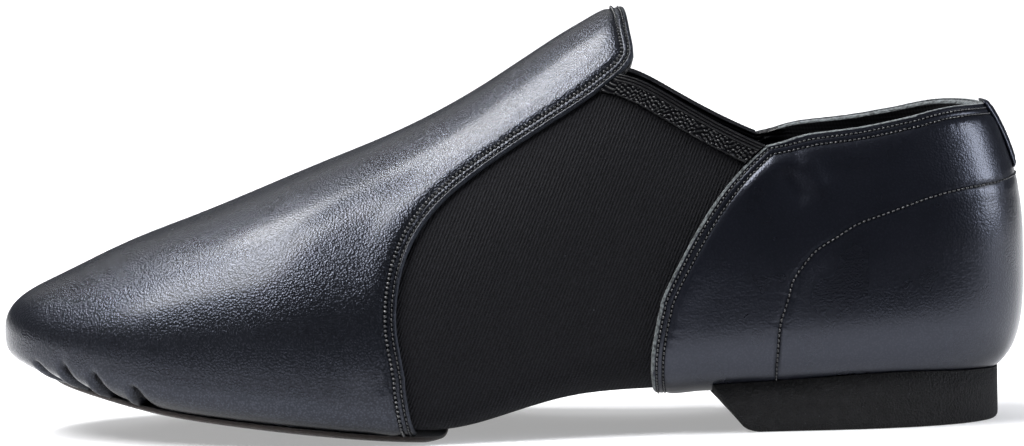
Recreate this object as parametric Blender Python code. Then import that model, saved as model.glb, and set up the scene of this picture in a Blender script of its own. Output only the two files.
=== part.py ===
# A slip-on jazz shoe for the left foot, with a split sole and a stretch gore at each side.
# Metres, +Z up, toe to -X, outer (lateral) side to -Y. It stands unbent on the floor at z = 0.
# Each piece is a sheet cut from one last function and given its own thickness, except the heel.

import bpy
import numpy as np

for old in list(bpy.data.objects):
    bpy.data.objects.remove(old, do_unlink=True)

# Driving sizes of the shoe
LENGTH = 0.2505
BALL_WIDTH = 0.088
TONGUE_HEIGHT = 0.1035

# Thicknesses, and the clearance between pieces that are sewn or glued to each other
LEATHER = 0.0011
BODY_WALL = 0.0015
ELASTIC = 0.0009
STRIP = 0.0009
PAD = 0.0012
INSOLE = 0.0020
FIT = 0.0003

# Widths of the bands along the top edge and of the strip over the back seam, and the strip's height
BAND_WIDTH = 0.0068
BACK_STRIP_WIDTH = 0.013
BACK_STRIP_DROP = 0.0175

# Where the rounded toe and heel turn about, as shares of the length from the heel's back, and the
# run of the outline round each from there to its middle. A station on the last is a share of the
# length between the two axes, and goes on round toe and heel by these runs
TOE_AXIS = 0.835
HEEL_AXIS = 0.112
TOE_TURN = 0.240
HEEL_TURN = 0.170
TOE_MIDDLE = TOE_AXIS + TOE_TURN
HEEL_MIDDLE = HEEL_AXIS - HEEL_TURN

# Plan outline: share of the length from the heel's back, then half width to the lateral and
# to the medial side as shares of the ball width
OUTLINE = (
    (0.012, 0.160, 0.160),
    (0.048, 0.262, 0.258),
    (0.120, 0.335, 0.330),
    (0.220, 0.360, 0.340),
    (0.320, 0.372, 0.335),
    (0.420, 0.400, 0.352),
    (0.520, 0.444, 0.402),
    (0.600, 0.482, 0.458),
    (0.665, 0.497, 0.500),
    (0.730, 0.482, 0.508),
    (0.790, 0.440, 0.485),
    (0.850, 0.385, 0.440),
    (0.905, 0.308, 0.370),
    (0.950, 0.218, 0.288),
    (0.983, 0.117, 0.194),
)
TOE_TIP_SIDE = 0.045

# Sections: share of the length from the heel's back, the ridge's shift to the medial side as a
# share of the ball width, heights of the underside and of the ridge as shares of the tongue's
# height, height of the widest line as a share of the section's own height, and the exponents of
# the section's lower and upper curves
SECTIONS = (
    (0.00, 0.000, 0.090, 0.865, 0.425, 3.7, 2.00),
    (0.12, 0.000, 0.087, 0.862, 0.410, 3.9, 2.00),
    (0.26, 0.010, 0.086, 0.920, 0.330, 4.6, 2.00),
    (0.38, 0.025, 0.081, 0.990, 0.240, 4.6, 2.00),
    (0.45, 0.035, 0.068, 0.920, 0.220, 4.8, 2.00),
    (0.51, 0.042, 0.033, 0.828, 0.212, 5.4, 2.05),
    (0.56, 0.048, 0.010, 0.758, 0.212, 6.6, 2.08),
    (0.61, 0.050, 0.011, 0.700, 0.215, 6.8, 2.10),
    (0.68, 0.050, 0.024, 0.633, 0.230, 5.8, 2.20),
    (0.76, 0.045, 0.045, 0.556, 0.245, 5.0, 2.30),
    (0.84, 0.045, 0.074, 0.484, 0.265, 4.6, 2.20),
    (0.90, 0.045, 0.107, 0.440, 0.280, 4.2, 2.05),
    (0.95, 0.045, 0.137, 0.416, 0.290, 4.0, 2.00),
    (1.00, 0.045, 0.172, 0.420, 0.300, 4.0, 2.00),
)

# Lines of the design on the last, from the edge under the foot upward. Each row holds the share of
# the length from the heel's back, and the share of the way round the section, where 0 is the
# middle of the sole, 0.5 the widest line and 1 the ridge
INSTEP_LINE = (
    (0.660, None),
    (0.664, 0.500),
    (0.650, 0.660),
    (0.590, 0.820),
    (0.489, 0.925),
    (0.388, 1.000),
)
VAMP_SEAM = (
    (0.594, None),
    (0.600, 0.440),
    (0.612, 0.560),
    (0.603, 0.655),
    (0.570, 0.725),
    (0.512, 0.757),
    (0.461, 0.764),
    (0.413, 0.777),
    (0.393, 0.792),
)
QUARTER_FRONT = (
    (0.366, None),
    (0.369, 0.420),
    (0.353, 0.515),
    (0.323, 0.573),
    (0.282, 0.645),
    (0.254, 0.688),
)
# Top edges in the same two shares: the tongue's from its middle to its corner, and the gore's
TONGUE_EDGE = (
    (0.388, 1.000),
    (0.3855, 0.955),
    (0.381, 0.860),
    (0.381, 0.815),
    (0.393, 0.792),
)
GORE_EDGE = (
    (0.393, 0.792),
    (0.372, 0.774),
    (0.344, 0.748),
    (0.308, 0.720),
    (0.254, 0.688),
)
# Collar: share of the way from the quarter's front corner round to the back, and share round the section
COLLAR = (
    (0.00, 0.688),
    (0.05, 0.697),
    (0.10, 0.708),
    (0.18, 0.719),
    (0.30, 0.731),
    (0.45, 0.751),
    (0.62, 0.768),
    (0.80, 0.769),
    (1.00, 0.764),
)

# How far in the uppers are lasted under the foot, and how far out insole and pad reach, as
# shares of the way from the middle to the outline
LASTED_REACH = 0.64
INSOLE_REACH = 0.78
PAD_REACH = (
    (0.56, 0.87),
    (0.70, 0.87),
    (0.82, 0.80),
    (0.95, 0.74),
    (1.075, 0.72),
)
HEEL_REACH = (
    (0.31, 0.84),
    (0.15, 0.83),
    (0.06, 0.79),
    (-0.058, 0.75),
)
# The pad's rear end, how far forward its corners are rounded, by how round a curve, and the
# stations within that rounding as shares of it
PAD_REAR = 0.566
PAD_CORNER = 0.050
PAD_ROUND = 4
PAD_EASE = (0.6, 0.3, 0.1, 0.02, 0)
# The heel's breast: height as a share of the heel's, and place as a share of the length
HEEL_BREAST = (
    (0.00, 0.268),
    (0.06, 0.277),
    (0.20, 0.284),
    (1.00, 0.310),
)

# Mesh of each side: columns in each panel, rows below the top band as shares of the way up to it,
# closer together round the lower corner, rows within the band, and rows under the foot, first out
# to a share of the way and then on to the edge
TOE_COLUMNS = 6
VAMP_COLUMNS = 8
SEAM_COLUMNS = 4
GORE_COLUMNS = 8
QUARTER_COLUMNS = 12
WALL_ROWS = (0, 0.05, 0.10, 0.16, 0.23, 0.32, 0.42, 0.53, 0.64, 0.76, 0.88, 1)
BAND_ROWS = 2
STRIP_ROWS = 5
MIDDLE_ROWS = 2
EDGE_ROWS = 3
# Under the foot, the share of a piece's reach where the rows begin to close up toward its edge
EDGE_START = 0.74
# Samples along a line of the design, and along the plan outline
LINE_SAMPLES = 121
OUTLINE_SAMPLES = 401
# Step for slopes on the last, and the step in columns in which an elastic's end is found
SLOPE_STEP = 0.002
COLUMN_STEP = 0.01
# Columns by which the closed arch reaches in under the pad and under the heel
PAD_OVERLAP = 2
HEEL_OVERLAP = 3
# Columns where the vamp's seam, the quarter's front and the back seam lie, and those between which
# the upper closes under the arch
SEAM = TOE_COLUMNS + VAMP_COLUMNS + SEAM_COLUMNS
FRONT = SEAM + GORE_COLUMNS
BACK = FRONT + QUARTER_COLUMNS
ARCH_FROM = SEAM - PAD_OVERLAP
ARCH_TO = FRONT + HEEL_OVERLAP

# Finishes: colours from the photo, and roughness
NEAR_BLACK_LEATHER = ((0.013, 0.014, 0.017, 1), 0.38)
GORE_CLOTH = ((0.011, 0.011, 0.013, 1), 0.85)
RIBBED_ELASTIC = ((0.011, 0.011, 0.013, 1), 0.80)
RUBBER = ((0.010, 0.010, 0.011, 1), 0.90)
SUEDE = ((0.030, 0.024, 0.022, 1), 0.95)
INSOLE_CLOTH = ((0.045, 0.045, 0.050, 1), 0.90)


# The last


def spline(xs, ys):
    """A natural cubic spline through the points, as a function of an array."""
    xs = np.array(xs, float)
    ys = np.array(ys, float)
    flat = ys.ndim == 1
    if flat:
        ys = ys[:, None]
    count = len(xs)
    gap = np.diff(xs)
    slope = np.diff(ys, axis=0) / gap[:, None]
    system = np.eye(count)
    right = np.zeros_like(ys)
    for i in range(1, count - 1):
        system[i, i - 1 : i + 2] = gap[i - 1], 2 * (gap[i - 1] + gap[i]), gap[i]
        right[i] = 6 * (slope[i] - slope[i - 1])
    bend = np.linalg.solve(system, right)

    def value(x):
        x = np.asarray(x, float)
        i = np.clip(np.searchsorted(xs, x) - 1, 0, count - 2)
        after = (xs[i + 1] - x)[..., None]
        before = (x - xs[i])[..., None]
        width = gap[i][..., None]
        curve = (bend[i] * after**3 + bend[i + 1] * before**3) / (6 * width)
        curve += (ys[i] / width - bend[i] * width / 6) * after
        curve += (ys[i + 1] / width - bend[i + 1] * width / 6) * before
        return curve[..., 0] if flat else curve

    return value


def plan_outline():
    """Each side's plan outline as points (along, across) from the toe's tip to the heel's back."""
    rows = np.array(OUTLINE)
    lateral = np.column_stack([rows[::-1, 0] * LENGTH, -rows[::-1, 1] * BALL_WIDTH])
    medial = np.column_stack([rows[:, 0] * LENGTH, rows[:, 2] * BALL_WIDTH])
    ring = np.vstack([[[LENGTH, TOE_TIP_SIDE * BALL_WIDTH]], lateral, [[0, 0]], medial])
    turns = np.vstack([ring, ring, ring, ring[:1]])
    steps = np.linalg.norm(np.diff(turns, axis=0), axis=1)
    run = np.concatenate([[0], np.cumsum(steps)])
    path = spline(run, turns)
    toe = len(ring)
    heel = toe + 1 + len(lateral)
    return {
        -1: path(np.linspace(run[toe], run[heel], OUTLINE_SAMPLES)),
        1: path(np.linspace(run[2 * toe], run[heel], OUTLINE_SAMPLES)),
    }


SIDES = plan_outline()
SIDE_MIDDLE = (SIDES[-1][:, 1].min() + SIDES[1][:, 1].max()) / 2
sections = spline([row[0] for row in SECTIONS], [row[1:] for row in SECTIONS])


def outline_point(station, side):
    """Point of one side's plan outline at a station."""
    outline = SIDES[side]
    shares = outline[:, 0] / LENGTH
    count = np.arange(len(outline), dtype=float)
    toe = np.interp(-TOE_AXIS, -shares, count)
    heel = np.interp(-HEEL_AXIS, -shares, count)
    straight = np.interp(-station, -shares, count)
    toward_toe = toe * (TOE_MIDDLE - station) / TOE_TURN
    toward_heel = count[-1] - (count[-1] - heel) * (station - HEEL_MIDDLE) / HEEL_TURN
    at = np.where(station > TOE_AXIS, toward_toe, straight)
    at = np.where(station < HEEL_AXIS, toward_heel, at)
    return np.interp(at, count, outline[:, 0]), np.interp(at, count, outline[:, 1])


def round_share(reach, station):
    """Share round the section, below the widest line, where it has this reach from the middle."""
    power = sections(np.clip(station, HEEL_AXIS, TOE_AXIS))[..., 4]
    return np.arcsin(np.clip(reach, 0, 1) ** (power / 2)) / np.pi


def last_point(station, t, side):
    """Point of the outer face of the leather, for a station and a share round the section."""
    station = np.asarray(station, float)
    t = np.asarray(t, float)
    along, across = outline_point(station, side)
    axis = np.clip(station, HEEL_AXIS, TOE_AXIS) * LENGTH
    base = sections(axis / LENGTH)
    middle = base[..., 0] * BALL_WIDTH
    low = t < 0.5
    power = np.where(low, base[..., 4], base[..., 5])
    reach = np.abs(np.sin(t * np.pi)) ** (2 / power)
    lift = np.abs(np.cos(t * np.pi)) ** (2 / power)
    x = axis + (along - axis) * reach
    y = middle + (across - middle) * reach
    here = sections(x / LENGTH)
    floor = here[..., 1] * TONGUE_HEIGHT
    height = here[..., 2] * TONGUE_HEIGHT - floor
    widest = here[..., 3]
    share = np.where(low, widest * (1 - lift), widest + (1 - widest) * lift)
    return np.stack([LENGTH / 2 - x, y - SIDE_MIDDLE, floor + height * share], -1)


def last_normal(station, t, side):
    """Unit normal of the last, outward, from small steps along and round it."""
    station = np.clip(station, HEEL_MIDDLE + SLOPE_STEP, TOE_MIDDLE - SLOPE_STEP)
    t = np.clip(t, 2 * SLOPE_STEP, 1 - 2 * SLOPE_STEP)
    along = last_point(station - SLOPE_STEP, t, side) - last_point(station + SLOPE_STEP, t, side)
    around = last_point(station, t + SLOPE_STEP, side) - last_point(station, t - SLOPE_STEP, side)
    normal = side * np.cross(around, along)
    return normal / np.linalg.norm(normal, axis=-1, keepdims=True)


# The grid of columns and rows that the upper's pieces share


def run_of(points):
    """Length run along a line of points, from its first."""
    steps = np.linalg.norm(np.diff(points, axis=0), axis=1)
    return np.concatenate([[0], np.cumsum(steps)])


def design_line(rows):
    """Samples (station, t) of a line of the design, evenly spaced along it on the last."""
    corners = [list(row) for row in rows]
    if corners[0][1] is None:
        corners[0][1] = float(round_share(LASTED_REACH, corners[0][0]))
    corners = np.array(corners)
    run = run_of(last_point(corners[:, 0], corners[:, 1], -1))
    samples = spline(run, corners)(np.linspace(0, run[-1], LINE_SAMPLES))
    return even_line(samples)


def upright_line(station, top):
    """Samples (station, t) straight round the section, from the lasted edge to the top."""
    t = np.linspace(float(round_share(LASTED_REACH, station)), top, 6 * LINE_SAMPLES)
    return even_line(np.column_stack([np.full(len(t), station), t]))


def even_line(samples):
    """The line resampled evenly by its run on the last."""
    run = run_of(last_point(samples[:, 0], samples[:, 1], -1))
    even = np.linspace(0, run[-1], LINE_SAMPLES)
    return np.column_stack([np.interp(even, run, samples[:, k]) for k in (0, 1)])


def between(left, right, share, top):
    """The column at a share of the way between two lines, ending at the given top."""
    line = (1 - share) * left + share * right
    rise = np.linspace(0, 1, LINE_SAMPLES)
    line = line + rise[:, None] * (np.array(top) - line[-1])
    edge = float(round_share(LASTED_REACH, line[0, 0]))
    line[:, 1] += (1 - rise) * (edge - line[0, 1])
    return line


def rows_of(line, side):
    """The rows' (station, t) along a column: even up to the top band, then even within it."""
    run = run_of(last_point(line[:, 0], line[:, 1], side))
    wall = np.array(WALL_ROWS) * (run[-1] - BAND_WIDTH)
    band = np.linspace(run[-1] - BAND_WIDTH, run[-1], BAND_ROWS + 1)
    at = np.concatenate([wall, band[1:]])
    return np.column_stack([np.interp(at, run, line[:, k]) for k in (0, 1)])


TOE_LINE = upright_line(TOE_AXIS, 1.0)
INSTEP = design_line(INSTEP_LINE)
VAMP_EDGE = design_line(VAMP_SEAM)
QUARTER_EDGE = design_line(QUARTER_FRONT)
BACK_LINE = upright_line(HEEL_MIDDLE, COLLAR[-1][1])
TONGUE_TOP = design_line(TONGUE_EDGE)
GORE_TOP = design_line(GORE_EDGE)
collar_height = spline([row[0] for row in COLLAR], [row[1] for row in COLLAR])


def column_line(column):
    """Samples (station, t) of one column of the grid, which may lie between two whole columns."""
    if column <= TOE_COLUMNS:
        return upright_line(TOE_MIDDLE - TOE_TURN * column / TOE_COLUMNS, 1.0)
    column -= TOE_COLUMNS
    if column <= VAMP_COLUMNS:
        share = column / VAMP_COLUMNS
        top = (1 - share) * TOE_LINE[-1] + share * INSTEP[-1]
        return between(TOE_LINE, INSTEP, share, top)
    column -= VAMP_COLUMNS
    if column <= SEAM_COLUMNS:
        share = column / SEAM_COLUMNS
        return between(INSTEP, VAMP_EDGE, share, rail_point(TONGUE_TOP, share))
    column -= SEAM_COLUMNS
    if column <= GORE_COLUMNS:
        share = column / GORE_COLUMNS
        return between(VAMP_EDGE, QUARTER_EDGE, share, rail_point(GORE_TOP, share))
    share = (column - GORE_COLUMNS) / QUARTER_COLUMNS
    station = (1 - share) * QUARTER_EDGE[-1, 0] + share * HEEL_MIDDLE
    return between(QUARTER_EDGE, BACK_LINE, share, (station, float(collar_height(share))))


def rail_point(rail, share):
    """Point (station, t) at a share of the way along a top edge."""
    place = share * (LINE_SAMPLES - 1)
    return [np.interp(place, np.arange(LINE_SAMPLES), rail[:, k]) for k in (0, 1)]


COLUMNS = [column_line(column) for column in range(BACK + 1)]


# Sheets and solids


def patch(grid, side):
    """One side's points, normals and faces from a grid of (station, t), columns first."""
    grid = np.array(grid)
    points = last_point(grid[..., 0], grid[..., 1], side)
    normals = last_normal(grid[..., 0], grid[..., 1], side)
    columns, rows = grid.shape[:2]
    faces = []
    for i in range(columns - 1):
        for j in range(rows - 1):
            a = i * rows + j
            quad = (a, a + 1, a + rows + 1, a + rows)
            faces.append(quad if side == 1 else quad[::-1])
    return points.reshape(-1, 3), normals.reshape(-1, 3), faces


def sheet(patches):
    """Patches welded where their points meet, with mean normals, and without collapsed faces."""
    points = np.vstack([part[0] for part in patches])
    normals = np.vstack([part[1] for part in patches])
    keys = np.round(points, 6)
    _, index = np.unique(keys, axis=0, return_inverse=True)
    index = index.reshape(-1)
    total = index.max() + 1
    place = np.zeros((total, 3))
    facing = np.zeros((total, 3))
    np.add.at(place, index, points)
    np.add.at(facing, index, normals)
    place /= np.bincount(index)[:, None]
    facing /= np.linalg.norm(facing, axis=1, keepdims=True)
    faces = []
    start = 0
    for part in patches:
        for face in part[2]:
            corners = []
            for corner in face:
                corner = int(index[start + corner])
                if corner not in corners:
                    corners.append(corner)
            faces += triangles(corners, place)
        start += len(part[0])
    return place, facing, faces


def triangles(corners, place):
    """The face as triangles, split along its shorter diagonal, so that pieces one over another match."""
    if len(corners) < 4:
        return [tuple(corners)] if len(corners) == 3 else []
    a, b, c, d = corners
    if np.linalg.norm(place[a] - place[c]) <= np.linalg.norm(place[b] - place[d]):
        return [(a, b, c), (a, c, d)]
    return [(a, b, d), (b, c, d)]


def rim_edges(faces):
    """Edges with one face only, in that face's order."""
    seen = set()
    for face in faces:
        seen.update(zip(face, face[1:] + face[:1]))
    return [edge for edge in sorted(seen) if edge[::-1] not in seen]


def thick(whole, outer, inner):
    """A closed wall from a sheet: outer and inner faces at these heights over it, and its rims."""
    points, normals, faces = whole
    count = len(points)
    body = list(faces)
    body += [tuple(corner + count for corner in reversed(face)) for face in faces]
    body += [(b, a, a + count, b + count) for a, b in rim_edges(faces)]
    outer = points + normals * np.reshape(outer, (-1, 1))
    inner = points + normals * np.reshape(inner, (-1, 1))
    return np.vstack([outer, inner]), body


def add_object(name, points, faces, finish):
    """A named object from points and faces, with its own material."""
    colour, roughness = finish
    mesh = bpy.data.meshes.new(name)
    mesh.from_pydata([tuple(point) for point in points], [], faces)
    mesh.validate()
    material = bpy.data.materials.new(name)
    material.use_nodes = True
    shader = material.node_tree.nodes["Principled BSDF"]
    shader.inputs["Base Color"].default_value = colour
    shader.inputs["Roughness"].default_value = roughness
    material.diffuse_color = colour
    mesh.materials.append(material)
    made = bpy.data.objects.new(name, mesh)
    bpy.context.scene.collection.objects.link(made)
    return made


def wall_patch(columns, side):
    """Rows of whole columns, from the lasted edge to the top."""
    return patch([rows_of(COLUMNS[n], side) for n in columns], side)


def under_patch(stations, reaches, side):
    """Rows under the foot, from the middle out to a reach for each station."""
    grid = []
    for station, limit in zip(stations, reaches):
        turn = min(LASTED_REACH, EDGE_START * limit)
        middle = np.linspace(0, turn, MIDDLE_ROWS + 1)
        steps = np.concatenate([middle, np.linspace(turn, limit, EDGE_ROWS + 1)[1:]])
        grid.append([(station, float(round_share(step, station))) for step in steps])
    return patch(grid, side)


def stations_from(first, last):
    """Stations under the foot, at the two given and wherever a column of the grid starts between."""
    starts = [line[0, 0] for line in COLUMNS]
    return np.array([first] + [start for start in starts if last < start < first] + [last])


# The upper's body: gores, lining and the panel under the arch, in one wall


def make_upper():
    patches = []
    for side in (-1, 1):
        patches.append(wall_patch(range(BACK + 1), side))
        arch = [line[0, 0] for line in COLUMNS[ARCH_FROM : ARCH_TO + 1]]
        patches.append(under_patch(arch, [LASTED_REACH] * len(arch), side))
    face = -(LEATHER + FIT)
    points, faces = thick(sheet(patches), face, face - BODY_WALL)
    add_object("upper", points, faces, GORE_CLOTH)


# The leather over the body


def make_vamp():
    patches = [wall_patch(range(SEAM + 1), side) for side in (-1, 1)]
    points, faces = thick(sheet(patches), 0, -LEATHER)
    add_object("vamp", points, faces, NEAR_BLACK_LEATHER)


def make_quarter():
    patches = [wall_patch(range(FRONT, BACK + 1), side) for side in (-1, 1)]
    points, faces = thick(sheet(patches), 0, -LEATHER)
    add_object("quarter", points, faces, NEAR_BLACK_LEATHER)


def column_at(first, distance, side, way):
    """The column whose top is this far from the top of the first, going up (1) or down (-1)."""
    start = top_of(first, side)
    column = first
    while np.linalg.norm(top_of(column, side) - start) < distance:
        column += way * COLUMN_STEP
    return column


def top_of(column, side):
    """Top point of a column on one side."""
    line = column_line(column)
    return last_point(line[-1, 0], line[-1, 1], side)


def make_back_strip():
    line = COLUMNS[BACK]
    run = run_of(last_point(line[:, 0], line[:, 1], 1))
    drops = np.linspace(run[-1] - BACK_STRIP_DROP, run[-1], STRIP_ROWS + 1)
    heights = np.interp(drops, run, line[:, 1])
    around = np.linspace(HEEL_MIDDLE, HEEL_AXIS, LINE_SAMPLES)
    patches = []
    for side in (-1, 1):
        grid = []
        for share in (1, 0.5, 0):
            column = []
            for t in heights:
                out = np.abs(last_point(around, t, side)[:, 1] + SIDE_MIDDLE)
                column.append((np.interp(share * BACK_STRIP_WIDTH / 2, out, around), t))
            grid.append(column)
        patches.append(patch(grid, side))
    points, faces = thick(sheet(patches), FIT + STRIP, FIT)
    add_object("back_strip", points, faces, NEAR_BLACK_LEATHER)


# The elastic bands, which stop short of the leather's edges


def make_elastic(name, side):
    first = column_at(SEAM, FIT, side, 1)
    last = column_at(FRONT, FIT, side, -1)
    columns = [first] + list(range(SEAM + 1, FRONT)) + [last]
    grid = [rows_of(column_line(column), side)[len(WALL_ROWS) - 1 :] for column in columns]
    points, faces = thick(sheet([patch(grid, side)]), ELASTIC - LEATHER, -LEATHER)
    add_object(name, points, faces, RIBBED_ELASTIC)


# The insole


def make_insole():
    patches = []
    for side in (-1, 1):
        stations = stations_from(TOE_MIDDLE, HEEL_MIDDLE)
        patches.append(under_patch(stations, [INSOLE_REACH] * len(stations), side))
    seat = -(LEATHER + FIT + BODY_WALL + FIT)
    points, faces = thick(sheet(patches), seat, seat - INSOLE)
    add_object("insole", points, faces, INSOLE_CLOTH)


# The forefoot pad, worn flat where it meets the floor


def pad_reach(station):
    """How far out the pad goes at a station, rounded off at its rear corners."""
    width = spline([row[0] for row in PAD_REACH], [row[1] for row in PAD_REACH])(station)
    back = np.clip((PAD_REAR + PAD_CORNER - station) / PAD_CORNER, 0, 1)
    return width * (1 - back**PAD_ROUND) ** (1 / PAD_ROUND)


def make_forefoot_sole():
    corner = [PAD_REAR + PAD_CORNER * ease for ease in PAD_EASE]
    stations = np.concatenate([stations_from(TOE_MIDDLE, PAD_REAR + PAD_CORNER), corner])
    patches = []
    for side in (-1, 1):
        patches.append(under_patch(stations, pad_reach(stations), side))
    points, faces = thick(sheet(patches), FIT + PAD, FIT)
    points[:, 2] = np.maximum(points[:, 2], 0)
    add_object("forefoot_sole", points, faces, SUEDE)


# The heel block: its top follows the quarter's underside, its sides are upright


def make_heel():
    patches = []
    stations = stations_from(HEEL_BREAST[-1][1], HEEL_MIDDLE)
    rows = HEEL_REACH[::-1]
    reaches = spline([row[0] for row in rows], [row[1] for row in rows])(stations)
    for side in (-1, 1):
        patches.append(under_patch(stations, reaches, side))
    top, normals, faces = sheet(patches)
    top = top + normals * FIT
    rim = rim_edges(faces)
    count = len(top)
    highest = HEEL_BREAST[-1][1]
    middle = HEEL_AXIS

    def level(share, breast):
        """The top's points moved down to a share of their height, and back with the breast."""
        moved = top.copy()
        along = 0.5 - top[:, 0] / LENGTH
        slack = np.clip((along - middle) / (highest - middle), 0, 1)
        moved[:, 0] += slack * (highest - breast) * LENGTH
        moved[:, 2] = top[:, 2] * share
        return moved

    levels = [top] + [level(share, breast) for share, breast in reversed(HEEL_BREAST[:-1])]
    body = [tuple(reversed(face)) for face in faces]
    for n in range(len(levels) - 1):
        for a, b in rim:
            body.append((a + n * count, b + n * count, b + (n + 1) * count, a + (n + 1) * count))
    lowest = (len(levels) - 1) * count
    body += [tuple(corner + lowest for corner in face) for face in faces]
    add_object("heel", np.vstack(levels), body, RUBBER)


make_upper()
make_vamp()
make_quarter()
make_back_strip()
make_elastic("elastic_lateral", -1)
make_elastic("elastic_medial", 1)
make_insole()
make_forefoot_sole()
make_heel()
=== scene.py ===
import math

import bpy
import numpy as np
from mathutils import Matrix, Vector
from mathutils.bvhtree import BVHTree
from mathutils.kdtree import KDTree


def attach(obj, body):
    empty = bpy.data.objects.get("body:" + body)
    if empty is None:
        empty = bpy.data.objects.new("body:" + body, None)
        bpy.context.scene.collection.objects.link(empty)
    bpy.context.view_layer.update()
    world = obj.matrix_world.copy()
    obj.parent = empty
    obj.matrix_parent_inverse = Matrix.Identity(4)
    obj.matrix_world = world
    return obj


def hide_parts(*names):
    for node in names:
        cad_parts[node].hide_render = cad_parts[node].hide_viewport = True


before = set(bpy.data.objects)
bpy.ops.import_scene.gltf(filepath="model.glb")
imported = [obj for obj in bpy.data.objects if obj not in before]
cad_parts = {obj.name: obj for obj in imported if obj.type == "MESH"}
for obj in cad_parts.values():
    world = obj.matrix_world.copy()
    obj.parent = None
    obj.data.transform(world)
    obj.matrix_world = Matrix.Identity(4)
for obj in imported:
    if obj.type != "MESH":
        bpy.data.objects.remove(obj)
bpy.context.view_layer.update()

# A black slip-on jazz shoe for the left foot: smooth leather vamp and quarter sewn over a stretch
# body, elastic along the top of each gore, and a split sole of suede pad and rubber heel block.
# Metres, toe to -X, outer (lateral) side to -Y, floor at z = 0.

MM = 0.001

# The photograph's view: the shoe's outer side, from a little above the floor, with a long lens,
# and turned by just over a degree so that the heel side comes up

VIEW_DISTANCE = 1.300
VIEW_ELEVATION = math.radians(5.0)
VIEW_ROLL = math.radians(1.2)
VIEW_CENTRE = Vector((0.0001, 0.0, 0.0494))
FRAME_WIDTH = 0.2514


def placed(name, data):
    """An object with this data, put into the scene."""
    made = bpy.data.objects.new(name, data)
    bpy.context.scene.collection.objects.link(made)
    return made


camera_data = bpy.data.cameras.new("photo_view")
camera_data.sensor_width = 36.0
camera_data.lens = camera_data.sensor_width * VIEW_DISTANCE / FRAME_WIDTH
camera_data.clip_start = 0.05
camera_data.clip_end = 60.0
camera = placed("photo_view", camera_data)
away = Vector((0, -math.cos(VIEW_ELEVATION), math.sin(VIEW_ELEVATION)))
upright = Vector((0, math.sin(VIEW_ELEVATION), math.cos(VIEW_ELEVATION)))
level = Vector((1, 0, 0))
right = math.cos(VIEW_ROLL) * level - math.sin(VIEW_ROLL) * upright
above = math.sin(VIEW_ROLL) * level + math.cos(VIEW_ROLL) * upright
camera.matrix_world = Matrix.Translation(VIEW_CENTRE + VIEW_DISTANCE * away) @ Matrix(
    (right, above, away)
).transposed().to_4x4()
bpy.context.scene.camera = camera


# Body of the shoe: gores of ribbed stretch cloth, lining and the panel under the arch, sewn and
# glued into one wall. It is cut over the last, whose lines every other piece shares, and it shows
# at the gores outside and all over inside

LENGTH = 250.5 * MM
BALL_WIDTH = 88.0 * MM
TONGUE_HEIGHT = 103.5 * MM
LEATHER = 1.1 * MM
BODY_WALL = 1.5 * MM
FIT = 0.3 * MM
BAND_WIDTH = 6.8 * MM

TOE_AXIS = 0.835
HEEL_AXIS = 0.112
TOE_TURN = 0.240
HEEL_TURN = 0.170
TOE_MIDDLE = TOE_AXIS + TOE_TURN
HEEL_MIDDLE = HEEL_AXIS - HEEL_TURN
# Plan outline: share of the length from the heel's back, half widths to the outer and the inner
# side as shares of the ball width
OUTLINE = (
    (0.012, 0.160, 0.160), (0.048, 0.262, 0.258), (0.120, 0.335, 0.330), (0.220, 0.360, 0.340),
    (0.320, 0.372, 0.335), (0.420, 0.400, 0.352), (0.520, 0.444, 0.402), (0.600, 0.482, 0.458),
    (0.665, 0.497, 0.500), (0.730, 0.482, 0.508), (0.790, 0.440, 0.485), (0.850, 0.385, 0.440),
    (0.905, 0.308, 0.370), (0.950, 0.218, 0.288), (0.983, 0.117, 0.194),
)
TOE_TIP_SIDE = 0.045
# Sections: share of the length, ridge's shift to the inner side, heights of underside and ridge as
# shares of the tongue's, height of the widest line, and the lower and upper curves' exponents
SECTIONS = (
    (0.00, 0.000, 0.090, 0.865, 0.425, 3.7, 2.00),
    (0.12, 0.000, 0.087, 0.862, 0.410, 3.9, 2.00),
    (0.26, 0.010, 0.086, 0.920, 0.330, 4.6, 2.00),
    (0.38, 0.025, 0.081, 0.990, 0.240, 4.6, 2.00),
    (0.45, 0.035, 0.068, 0.920, 0.220, 4.8, 2.00),
    (0.51, 0.042, 0.033, 0.828, 0.212, 5.4, 2.05),
    (0.56, 0.048, 0.010, 0.758, 0.212, 6.6, 2.08),
    (0.61, 0.050, 0.011, 0.700, 0.215, 6.8, 2.10),
    (0.68, 0.050, 0.024, 0.633, 0.230, 5.8, 2.20),
    (0.76, 0.045, 0.045, 0.556, 0.245, 5.0, 2.30),
    (0.84, 0.045, 0.074, 0.484, 0.265, 4.6, 2.20),
    (0.90, 0.045, 0.107, 0.440, 0.280, 4.2, 2.05),
    (0.95, 0.045, 0.137, 0.416, 0.290, 4.0, 2.00),
    (1.00, 0.045, 0.172, 0.420, 0.300, 4.0, 2.00),
)
# Lines of the design: share of the length, and share of the way round the section, where 0 is the
# middle of the sole, 0.5 the widest line and 1 the ridge. None is the lasted edge under the foot
INSTEP_LINE = (
    (0.660, None), (0.664, 0.500), (0.650, 0.660), (0.590, 0.820), (0.489, 0.925), (0.388, 1.000),
)
VAMP_SEAM = (
    (0.594, None), (0.600, 0.440), (0.612, 0.560), (0.603, 0.655), (0.570, 0.725), (0.512, 0.757),
    (0.461, 0.764), (0.413, 0.777), (0.393, 0.792),
)
QUARTER_FRONT = (
    (0.366, None), (0.369, 0.420), (0.353, 0.515), (0.323, 0.573), (0.282, 0.645), (0.254, 0.688),
)
TONGUE_EDGE = (
    (0.388, 1.000), (0.3855, 0.955), (0.381, 0.860), (0.381, 0.815), (0.393, 0.792),
)
GORE_EDGE = (
    (0.393, 0.792), (0.372, 0.774), (0.344, 0.748), (0.308, 0.720), (0.254, 0.688),
)
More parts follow.
